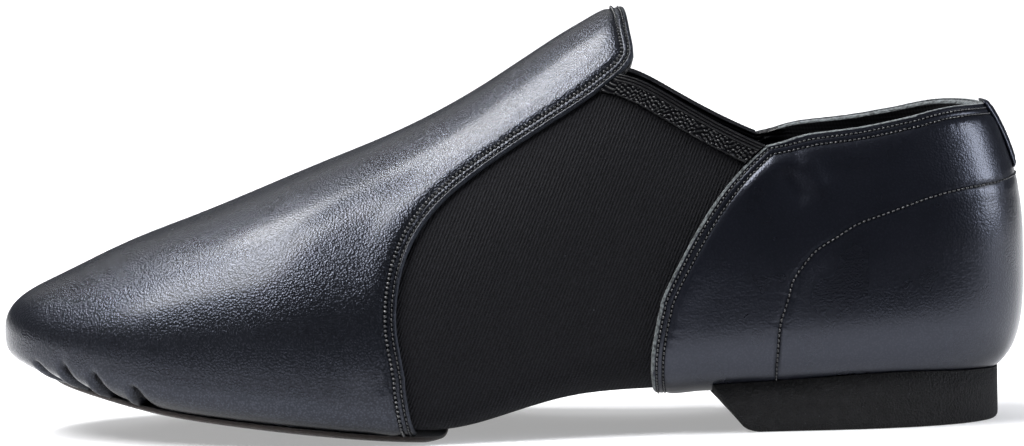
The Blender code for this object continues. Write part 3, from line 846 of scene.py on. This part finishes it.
# Creases: side, line in the side view (mm from the heel's back, mm up), half width, rise in mm
VAMP_CREASES = (
    (-1, ((165, 40), (163.5, 25), (162, 10)), 2.8, 0.22),
    (-1, ((158, 60), (166, 48), (176, 40)), 7.0, -0.25),
    (1, ((160, 58), (169, 47), (180, 38)), 7.0, -0.25),
    (-1, ((120, 92), (128, 84), (136, 78)), 6.0, 0.20),
)


def whole_edge(lines):
    """One line of points from outer to inner side, along the given lines and back down them."""
    halves = {}
    for side in (-1, 1):
        parts = [fine_line(line, side) for line in lines]
        halves[side] = [np.vstack([part[k] for part in parts]) for k in (0, 1)]
    points = np.vstack([halves[-1][0], halves[1][0][::-1]])
    normals = np.vstack([halves[-1][1], halves[1][1][::-1]])
    keep = np.concatenate([[True], np.linalg.norm(np.diff(points, axis=0), axis=1) > 0.02 * MM])
    return points[keep], normals[keep]


def inside_line(edge, normals, inset, toward):
    """The edge line moved onto the leather by an inset, smoothed, with its tight corners rounded."""
    tangent = np.gradient(edge, axis=0)
    tangent /= np.linalg.norm(tangent, axis=1, keepdims=True)
    inset = np.broadcast_to(inset, len(edge))
    moved = edge + toward * np.cross(normals, tangent) * inset[:, None]
    distance, _ = near(moved, edge)
    moved = moved[distance > 0.97 * inset]
    for _ in range(12):
        moved[1:-1] = (moved[:-2] + 2 * moved[1:-1] + moved[2:]) / 4
    return moved


def tube_faces(rings, around, start):
    """Faces of a closed tube of rings of points, with its two ends."""
    faces = []
    for i in range(rings - 1):
        for j in range(around):
            a = start + i * around + j
            b = start + i * around + (j + 1) % around
            faces.append((a, b, b + around, a + around))
    faces.append(tuple(start + j for j in reversed(range(around))))
    faces.append(tuple(start + (rings - 1) * around + j for j in range(around)))
    return faces


# One stitch from end to end: share of its length, rise over the leather, thickness, in diameters
STITCH_SHAPE = (
    (0.00, -0.55, 0.45), (0.10, 0.05, 0.85), (0.30, 0.52, 1.00), (0.50, 0.64, 1.05), (0.70, 0.52, 1.00),
    (0.90, 0.05, 0.85), (1.00, -0.55, 0.45),
)
THREAD_ROUND = 7
# Share of the pitch between a stitch's end and the middle of its hole
STITCH_GAP = 0.12

# Painted shade in the needle's holes: each hole is a black matte dot that stands for the shadow inside it
needle_hole_shade, _, _ = mottled(
    "painted_needle_hole_shade", 0.2 * MM, 2.0, "#020202", "#0b0b0c", Roughness=0.95, Specular_IOR_Level=0.05
)
HOLE_RADIUS = 0.34 * MM
HOLE_RISE = 0.05 * MM
HOLE_ROUND = 6


def lying_on(surface, point):
    """The spot of the leather's outer face that is nearest to a point, and its normal."""
    spot, normal, _, _ = surface.find_nearest(Vector(point))
    return np.array(spot), np.array(normal)


def ring(centre, radius, one, other, count):
    """Points round a centre, in the plane of two directions."""
    turns = 2 * np.pi * np.arange(count)[:, None] / count
    return list(centre + radius * (np.cos(turns) * one + np.sin(turns) * other))


def sew(name, lines, surface, pitch=STITCH_PITCH, thickness=0.34 * MM, slant=0.10):
    """Rows of stitches pressed into the leather along lines, with a hole of painted shade before each, as one
    piece.
    """
    points = []
    faces = []
    numbers = []
    for line in lines:
        run = run_of(line)
        count = int(run[-1] / pitch)
        for i in range(count):
            ends = (np.array([STITCH_GAP, 1 - STITCH_GAP]) + i) * run[-1] / count
            first, last = along_line(line, run, ends)
            spot, normal = lying_on(surface, (first + last) / 2)
            along = last - first
            length = np.linalg.norm(along)
            along -= normal * (along @ normal)
            along /= np.linalg.norm(along)
            along += slant * (1 + 0.4 * math.sin(7.3 * i)) * np.cross(normal, along)
            along /= np.linalg.norm(along)
            across = np.cross(normal, along)
            made = tube_faces(len(STITCH_SHAPE), THREAD_ROUND, len(points))
            for share, rise, width in STITCH_SHAPE:
                centre = spot + along * (share - 0.5) * length + normal * rise * thickness
                points += ring(centre, 0.5 * thickness * width, across, normal, THREAD_ROUND)
            start = len(points)
            before = first - STITCH_GAP / (1 - 2 * STITCH_GAP) * (last - first)
            spot, normal = lying_on(surface, before)
            points += ring(spot, HOLE_RADIUS, np.cross(normal, along), along, HOLE_ROUND)
            points += [spot + HOLE_RISE * normal, spot - HOLE_RISE * normal]
            rim = [start + j for j in range(HOLE_ROUND)]
            over, under = start + HOLE_ROUND, start + HOLE_ROUND + 1
            pairs = list(zip(rim, rim[1:] + rim[:1]))
            pits = [(a, b, over) for a, b in pairs] + [(b, a, under) for a, b in pairs]
            faces += made + pits
            numbers += [0] * len(made) + [1] * len(pits)
    add_piece(name, points, faces, [thread, needle_hole_shade], numbers)


# The same hide along the vamp's cut edge, dyed black and dull, so that no pale line shows there
dyed_edge = smooth_leather("dyed_cut_edge", "#0c0d0f", "#1d2023", 0.5 * MM, 0.10 * MM, 0.62, 0.0)
VAMP_GRID = steps(
    (0, TOE_COLUMNS, 82),
    (TOE_COLUMNS, INSTEP_AT, 104),
    (INSTEP_AT, SEAM - 1.3, 14),
    (SEAM - 1.3, SEAM, 22),
)
VAMP_ROWS = 96
vamp_edge, vamp_edge_normals = whole_edge([VAMP_EDGE, TONGUE_TOP[::-1]])


def vamp_relief(places, points, distance, run):
    """The vamp's height and its share in grooves: sewn edge, pleats and creases."""
    height, groove = sewn_relief(distance, run, STITCH_ROWS, 0.7 * MM, 0.45 * LEATHER)
    pleats, folds = pleat_relief(places)
    return height + pleats + crease_relief(points, VAMP_CREASES), groove + folds


vamp_surface = leather_shell(
    "vamp_leather",
    VAMP_GRID,
    VAMP_ROWS,
    vamp_edge,
    vamp_relief,
    [vamp_leather, dyed_edge],
    0.5 * MM,
    "vamp",
)
# The row next to the edge is fine and sunk, the main row thick and slanted
VAMP_SEWING = (("vamp_edge_stitches", 0.28 * MM, 0.1), ("vamp_stitches", 0.68 * MM, 0.5))
for inset, (name, thickness, slant) in zip(STITCH_ROWS, VAMP_SEWING):
    line = inside_line(vamp_edge, vamp_edge_normals, inset, 1)
    sew(name, [line], vamp_surface, thickness=thickness, slant=slant)


# Elastic bands: woven elastic folded over the top edge of each gore and sewn down, with fine cords
# along both its edges and a crinkled middle where the rubber has drawn it up

ELASTIC = 0.9 * MM
CORD_PITCH = 0.80 * MM
ELASTIC_ROWS = 58
ELASTIC_COLUMNS = 220


def elastic_relief(down, run):
    """Relief of the band, from 0 in its gaps to 1, by distance down from its top and run along it."""
    cords = np.abs(np.sin(np.pi * down / CORD_PITCH)) ** 1.3
    crinkle = np.sin(run / (0.20 * MM) + 2.2 * np.sin(run / (1.1 * MM)) + down / (0.23 * MM))
    crinkle += np.sin(run / (0.28 * MM) - down / (0.19 * MM) + 1.7 * np.sin(run / (1.6 * MM) + 1))
    crinkle += 0.9 * np.sin(down / (0.17 * MM) + 1.5 * np.sin(run / (0.45 * MM)))
    crinkle = np.clip(0.42 + 0.34 * crinkle, 0, 1) ** 1.5
    corded = (1 - ease(down, 2.3 * MM, 2.6 * MM)) + ease(down, 5.8 * MM, 6.0 * MM)
    return corded * cords + (1 - corded) * crinkle


for name, side in (("elastic_lateral", -1), ("elastic_medial", 1)):
    whole = np.linspace(SEAM, FRONT, ELASTIC_COLUMNS)
    tops = np.array([column_line(column)[-1] for column in whole])
    run = line_run(tops, side)
    grid = []
    for column in np.interp(np.linspace(FIT, run[-1] - FIT, ELASTIC_COLUMNS), run, whole):
        line = column_line(column)
        up = line_run(line, side)
        grid.append(along_line(line, up, np.linspace(up[-1] - BAND_WIDTH, up[-1], ELASTIC_ROWS)))
    _, points, normals, faces = weld([patch(np.array(grid), side)])
    rim, _ = fine_line(GORE_TOP, side)
    down, nearest = near(points, rim)
    relief = elastic_relief(down, run_of(rim)[nearest])
    ends = np.minimum(down, BAND_WIDTH - down) / (0.5 * MM)
    height = 0.38 * MM * relief - 0.35 * MM * (1 - np.clip(ends, 0, 1)) ** 2
    outer = points + normals * (ELASTIC - LEATHER - 0.28 * MM + height[:, None])
    shell, every = two_faced(outer, points - normals * LEATHER, faces)
    add_piece(
        name + "_band",
        shell,
        every,
        [elastic_weave],
        replaces=[name],
        # Painted shade in the band's gaps, low in its relief, through their groove share
        grooves=np.tile(np.clip(1.5 - 1.8 * relief, 0, 1), 2),
    )


# Quarter: one piece of smoother leather round the heel, sewn down on the gores, turned at the
# collar with two rows of stitches, with a third row that holds the stiff counter inside

# Smoother cowhide with a flat grain: its highlight runs on with hardly a break
FLAT_GRAIN = 0.54 * MM
quarter_leather = smooth_leather(
    "smooth_satin_cowhide", "#0c0d11", "#13141a", FLAT_GRAIN, 0.052 * MM, 0.28, 0.22
)
# The counter's stitches in the side view: mm from the heel's back, mm up
COUNTER_LINE = (
    (1.2, 59.9), (8.8, 58.3), (16.6, 57.5), (24.2, 55.8), (30.2, 54.0), (37.6, 51.6), (43.0, 49.7),
    (47.6, 47.0), (52.3, 44.0), (55.9, 40.2), (58.1, 36.5), (59.4, 32.0), (60.9, 27.5), (61.9, 21.7),
    (62.2, 15.8), (62.2, 11.5),
)
# Creases, listed as the vamp's are: the soft buckle under the collar's front corner
QUARTER_CREASES = (
    (-1, ((56.5, 68), (53, 62.5), (49.5, 55)), 2.8, 0.90),
    (-1, ((61, 65), (57.5, 60), (54, 54)), 2.4, -0.70),
    (-1, ((47, 66), (45, 61), (42, 56)), 4.0, -0.15),
    (-1, ((71, 55.5), (63.5, 62.7), (54, 66)), 2.6, 0.65),
    (1, ((57, 67), (53, 60), (49, 54)), 3.0, 0.35),
    (1, ((62, 65), (58, 58), (55, 51)), 3.0, -0.30),
)
QUARTER_GRID = steps((FRONT, FRONT + 1.0, 24), (FRONT + 1.0, BACK, 126))
QUARTER_ROWS = 104
COLLAR_INSET = 0.7 * MM
collar_line = np.array([column_line(column)[-1] for column in np.linspace(FRONT, BACK, LINE_SAMPLES)])
quarter_edge, quarter_edge_normals = whole_edge([QUARTER_EDGE, collar_line])
quarter_run = run_of(quarter_edge)
front_run = run_of(fine_line(QUARTER_EDGE, -1)[0])[-1]
back_run = quarter_run[-1] - run_of(fine_line(QUARTER_EDGE, 1)[0])[-1]


def collar_inset(run):
    """Extra inset of the stitch rows along the collar, over that along the front edge."""
    on_collar = ease(run, front_run, front_run + 9 * MM) * (1 - ease(run, back_run - 9 * MM, back_run))
    return COLLAR_INSET * on_collar


counter_lines = [drawn_line(COUNTER_LINE, side) for side in (-1, 1)]
back_seam = fine_line(BACK_LINE, 1)[0]


def quarter_relief(places, points, distance, run):
    """The quarter's height and its share in grooves: sewn edge, counter, back seam and creases."""
    inset = distance - collar_inset(run) * ease(distance, 0.8 * MM, 1.6 * MM)
    height, groove = sewn_relief(inset, run, STITCH_ROWS, 1.0 * MM, 0.80 * LEATHER, 0.8, 0.3)
    off, nearest = near(points, np.vstack(counter_lines))
    height -= 0.20 * MM * hump(off, 0.55 * MM)
    height += 0.09 * MM * hump(off - 2.2 * MM, 1.6 * MM)
    height += 0.04 * MM * wavering(nearest * 0.3 * MM, PUCKER_PITCH) * hump(off, 2.2 * MM)
    seam, _ = near(points, back_seam)
    height += 0.15 * MM * hump(seam, 2.5 * MM) - 0.25 * MM * hump(seam, 0.5 * MM)
    groove += hump(off, 0.45 * MM) + hump(seam, 0.4 * MM)
    return height + crease_relief(points, QUARTER_CREASES), groove


quarter_surface = leather_shell(
    "quarter_leather",
    QUARTER_GRID,
    QUARTER_ROWS,
    quarter_edge,
    quarter_relief,
    [quarter_leather, cut_edge],
    0.75 * MM,
    "quarter",
)
edge_rows = [
    inside_line(quarter_edge, quarter_edge_normals, row + collar_inset(quarter_run), -1)
    for row in STITCH_ROWS
]
sew("quarter_stitches", edge_rows, quarter_surface)
sew("counter_stitches", counter_lines, quarter_surface, pitch=1.25 * MM)


# Back strip: a short strip of the same leather over the top of the back seam, sewn down its sides

STRIP = 0.9 * MM
BACK_STRIP_WIDTH = 13.0 * MM
BACK_STRIP_DROP = 17.5 * MM
STRIP_COLUMNS = 18
STRIP_ROWS = 46
line = column_line(BACK)
run = line_run(line, 1)
heights = np.interp(np.linspace(run[-1] - BACK_STRIP_DROP, run[-1], STRIP_ROWS), run, line[:, 1])
around = np.linspace(HEEL_MIDDLE, HEEL_AXIS, 400)
patches = []
strip_edge = []
for side in (-1, 1):
    grid = []
    for share in np.linspace(1, 0, STRIP_COLUMNS):
        column = []
        for t in heights:
            out = np.abs(last_point(around, t, side)[:, 1] + SIDE_MIDDLE)
            column.append((np.interp(share * BACK_STRIP_WIDTH / 2, out, around), t))
        grid.append(column)
    patches.append(patch(np.array(grid), side))
    sheet = patches[-1][1].reshape(STRIP_COLUMNS, STRIP_ROWS, 3)
    strip_edge += [sheet[0], sheet[:, 0], sheet[:, -1]]
_, points, normals, faces = weld(patches)
distance, _ = near(points, np.vstack(strip_edge))
height = -0.75 * STRIP * (1 - np.clip(distance / (1.6 * MM), 0, 1)) ** 2
height -= GROOVE_DEPTH * hump(distance - 1.5 * MM, GROOVE_WIDTH)
outer = points + normals * (FIT + STRIP + height[:, None])
shell, every = two_faced(outer, points + normals * (FIT - 0.25 * MM), faces)
add_piece(
    "back_strip_leather", shell, every, [quarter_leather], replaces=["back_strip"]
)


# Insole: a thin full-length board covered with the lining's cloth, glued on the lasted edges

INSOLE = 2.0 * MM
INSOLE_REACH = 0.78
INSOLE_STATIONS = 200


def sole_face(stations, reaches, rows):
    """Points, normals and faces of the last's underside, out to each station's reach."""
    grids = [patch(under_grid(stations, reaches, rows), side) for side in (-1, 1)]
    return weld(grids)[1:]


insole_reach = [INSOLE_REACH] * INSOLE_STATIONS
points, normals, faces = sole_face(np.linspace(TOE_MIDDLE, HEEL_MIDDLE, INSOLE_STATIONS), insole_reach, 30)
seat = -(LEATHER + FIT + BODY_WALL + FIT)
shell, every = two_faced(points + normals * seat, points + normals * (seat - INSOLE), faces)
add_piece("insole_board", shell, every, [lining_cloth], replaces=["insole"])


# Forefoot pad: a thin pad of suede glued over the lasted edges, the front half of the split sole,
# flat where it meets the floor

# Chrome suede: brown-black split leather, brushed to a short nap that goes dull and dusty
suede, _, _ = mottled(
    "chrome_suede", 1.1 * MM, 4.0, "#1c1716", "#3d3531", 0.8, 0.2 * MM,
    Roughness=0.95, IOR=1.45, Specular_IOR_Level=0.2, Sheen_Weight=0.3, Sheen_Roughness=0.6,
)

PAD = 1.2 * MM
PAD_REACH = ((0.56, 0.87), (0.70, 0.87), (0.82, 0.80), (0.95, 0.74), (1.075, 0.72))
PAD_REAR = 0.566
PAD_CORNER = 0.050
PAD_ROUND = 4
corner = PAD_REAR + PAD_CORNER * np.linspace(1, 0, 24)[1:] ** 2
pad_stations = np.concatenate([np.linspace(TOE_MIDDLE, PAD_REAR + PAD_CORNER, 110), corner])
pad_width = spline([row[0] for row in PAD_REACH], [row[1] for row in PAD_REACH])(pad_stations)
back = np.clip((PAD_REAR + PAD_CORNER - pad_stations) / PAD_CORNER, 0, 1)
pad_reach = pad_width * (1 - back**PAD_ROUND) ** (1 / PAD_ROUND)
points, normals, faces = sole_face(pad_stations, pad_reach, 24)
rim = np.array([points[a] for a, _ in border(faces)])
distance, _ = near(points, rim)
wear_and_groove_shade = 0.5 * MM * (1 - np.clip(distance / (1.2 * MM), 0, 1)) ** 2
shell, every = two_faced(points + normals * (FIT + PAD - wear_and_groove_shade[:, None]), points + normals * FIT, faces)
shell[:, 2] = np.maximum(shell[:, 2], 0)
add_piece("suede_pad", shell, every, [suede], replaces=["forefoot_sole"])


# Heel block: low block of black foam rubber under the heel, cut with a slanted breast and glued
# under the quarter, the rear half of the split sole

# Microcellular rubber, moulded and buffed: matt black, fine dimples and scuffs
heel_rubber, tree, shader = material(
    "microcellular_rubber", Roughness=0.80, IOR=1.52, Specular_IOR_Level=0.3
)
place = node(tree, "TexCoord").outputs["Object"]
cells = node(tree, "TexVoronoi", {"Vector": place, "Scale": 1 / (0.55 * MM)}).outputs["Distance"]
scuff = node(tree, "TexNoise", {"Vector": place, "Scale": 1 / (2.5 * MM), "Detail": 5.0}).outputs[0]
shade = node(tree, "MapRange", {"Value": scuff, "From Min": 0.35, "From Max": 0.75}).outputs[0]
colour = node(tree, "Mix", {0: shade, 6: linear("#070709"), 7: linear("#131315")}, data_type="RGBA")
dusted = specked(tree, place, colour.outputs[2], 2.4 * MM, 0.07, "#34353a")
relief = node(tree, "Math", {0: scuff, 1: 0.6, 2: cells}, operation="MULTIPLY_ADD").outputs[0]
coloured(tree, shader, dusted, relief, 1.0, 0.35 * MM)

HEEL_REACH = ((-0.058, 0.75), (0.06, 0.79), (0.15, 0.83), (0.31, 0.84))
# Breast: height as a share of the heel's, place as a share of the length; and the edge's rounding
HEEL_BREAST = (
    (0.00, 0.268), (0.02, 0.272), (0.06, 0.277), (0.12, 0.281), (0.20, 0.284), (0.55, 0.2955),
    (1.00, 0.310),
)
HEEL_ROUNDING = ((0.0, 0.018), (0.02, 0.009), (0.06, 0.002), (0.12, 0.0), (1.0, 0.0))
heel_stations = np.linspace(HEEL_BREAST[-1][1], HEEL_MIDDLE, 130)
heel_reach = spline([row[0] for row in HEEL_REACH], [row[1] for row in HEEL_REACH])(heel_stations)
points, normals, faces = sole_face(heel_stations, heel_reach, 22)
top = points + normals * FIT
centre = (top.max(0) + top.min(0)) / 2
rim = border(faces)
count = len(top)
highest = HEEL_BREAST[-1][1]
levels = [top]
for share, breast in reversed(HEEL_BREAST[:-1]):
    moved = top.copy()
    slack = np.clip((0.5 - top[:, 0] / LENGTH - HEEL_AXIS) / (highest - HEEL_AXIS), 0, 1)
    moved[:, 0] += slack * (highest - breast) * LENGTH
    moved[:, 2] = top[:, 2] * share
    inset = np.interp(share, [row[0] for row in HEEL_ROUNDING], [row[1] for row in HEEL_ROUNDING])
    moved[:, :2] += (centre[:2] - moved[:, :2]) * inset
    levels.append(moved)
every = [tuple(reversed(face)) for face in faces]
for level in range(0, (len(levels) - 1) * count, count):
    every += [(a + level, b + level, b + level + count, a + level + count) for a, b in rim]
lowest = (len(levels) - 1) * count
every += [tuple(corner + lowest for corner in face) for face in faces]
used, every = used_only(len(levels) * count, every)
add_piece(
    "rubber_heel", np.vstack(levels)[used], every, [heel_rubber], replaces=["heel"]
)


# Studio: a plain pale floor that runs on behind the shoe, a large soft box over the vamp, small
# ones for the tongue, the far edges and the heel, one that lights only the ground behind, and a dim
# room, so that the black leather shows broad soft highlights

# White floor paint, matt, faintly cloudy over two thirds of a metre: near white without a gloss
floor_paint, _, _ = mottled(
    "matt_white_floor", 2 / 3, 2.0, "#c9c9cb", "#d0d0d1",
    Roughness=0.85, IOR=1.5, Specular_IOR_Level=0.2, Emission_Color=linear("#ffffff"), Emission_Strength=0.36,
)


def laid(name, outline, height, cover):
    """A flat sheet of the studio, laid level at a height."""
    mesh = bpy.data.meshes.new(name)
    mesh.from_pydata([(x, y, height) for x, y in outline], [], [tuple(range(len(outline)))])
    mesh.materials.append(cover)
    sheet = placed(name, mesh)
    return sheet


FLOOR_HALF = 12.0
FLOOR_CORNERS = [(x * FLOOR_HALF, y * FLOOR_HALF) for x, y in ((-1, -1), (1, -1), (1, 1), (-1, 1))]
laid("floor", FLOOR_CORNERS, -0.0001, floor_paint)

# A black card lies on the floor before the shoe, where the photograph's view doesn't reach, so that
# the leather's upright sides mirror it and stay dark; the camera doesn't see it from any side
card_velvet, _, _ = material(
    "black_velvet_card", Base_Color=linear("#0a0a0a"), Roughness=1.0, Specular_IOR_Level=0.0
)
CARD = ((-1.5, -11.9), (1.5, -11.9), (1.5, -0.124), (0.11, -0.124), (0.05, -0.165), (-1.5, -0.155))
card = laid("black_card", CARD, 0.002, card_velvet)
card.visible_camera = False
card.visible_shadow = False

# Each soft box: where it stands, what it points at, the way that its long side runs, its two sizes,
# its power and its colour. The shoe mirrors all of them but the background's
SOFT_BOXES = (
    ("vamp_box", (-0.71, -0.33, 1.22), (-0.05, 0, 0.05), (0.66, 0.75, 0), (0.88, 0.62), 36.0, "#ffffff"),
    ("tongue_box", (-0.57, 0.29, 1.22), (0.03, 0, 0.08), (0.3, 0.95, 0), (0.36, 0.28), 11.0, "#ffffff"),
    ("edge_box", (-0.25, 1.15, 0.72), (0.03, 0, 0.08), (1, 0, 0), (1.0, 0.4), 0.9, "#ffffff"),
    ("heel_box", (1.12, -0.14, 0.47), (0.12, 0, 0.05), (0, 0, 1), (0.72, 0.30), 8.5, "#f2f6ff"),
    ("background_box", (0, 2.7, 1.6), (0, 2.7, 0), (1, 0, 0), (5.0, 3.0), 90.0, "#ffffff"),
)
for name, stand, aim, along, size, power, tint in SOFT_BOXES:
    lamp = bpy.data.lights.new(name, "AREA")
    lamp.shape = "RECTANGLE"
    lamp.size, lamp.size_y = size
    lamp.energy = power
    lamp.color = linear(tint)[:3]
    back = (Vector(stand) - Vector(aim)).normalized()
    across = back.cross(Vector(along)).normalized()
    turned = Matrix((across.cross(back), across, back)).transposed().to_4x4()
    box = placed(name, lamp)
    box.matrix_world = Matrix.Translation(stand) @ turned
    box.visible_glossy = name != "background_box"

sun = bpy.data.lights.new("ceiling_glow", "SUN")
sun.energy = 0.6
sun.angle = math.radians(60)
placed("ceiling_glow", sun).visible_glossy = False

world = bpy.data.worlds.new("studio")
world.use_nodes = True
bpy.context.scene.world = world
tree = world.node_tree
room = tree.nodes["Background"]
room.inputs["Color"].default_value = linear("#aab2c4")
room.inputs["Strength"].default_value = 0.12
seen = node(tree, "Background", {"Color": linear("#f3f4f6"), "Strength": 1.0})
ray = node(tree, "LightPath")
both = node(tree, "MixShader", {0: ray.outputs["Is Camera Ray"], 1: room.outputs[0], 2: seen.outputs[0]})
tree.links.new(both.outputs[0], tree.nodes["World Output"].inputs["Surface"])
bpy.context.scene.view_settings.view_transform = "Standard"
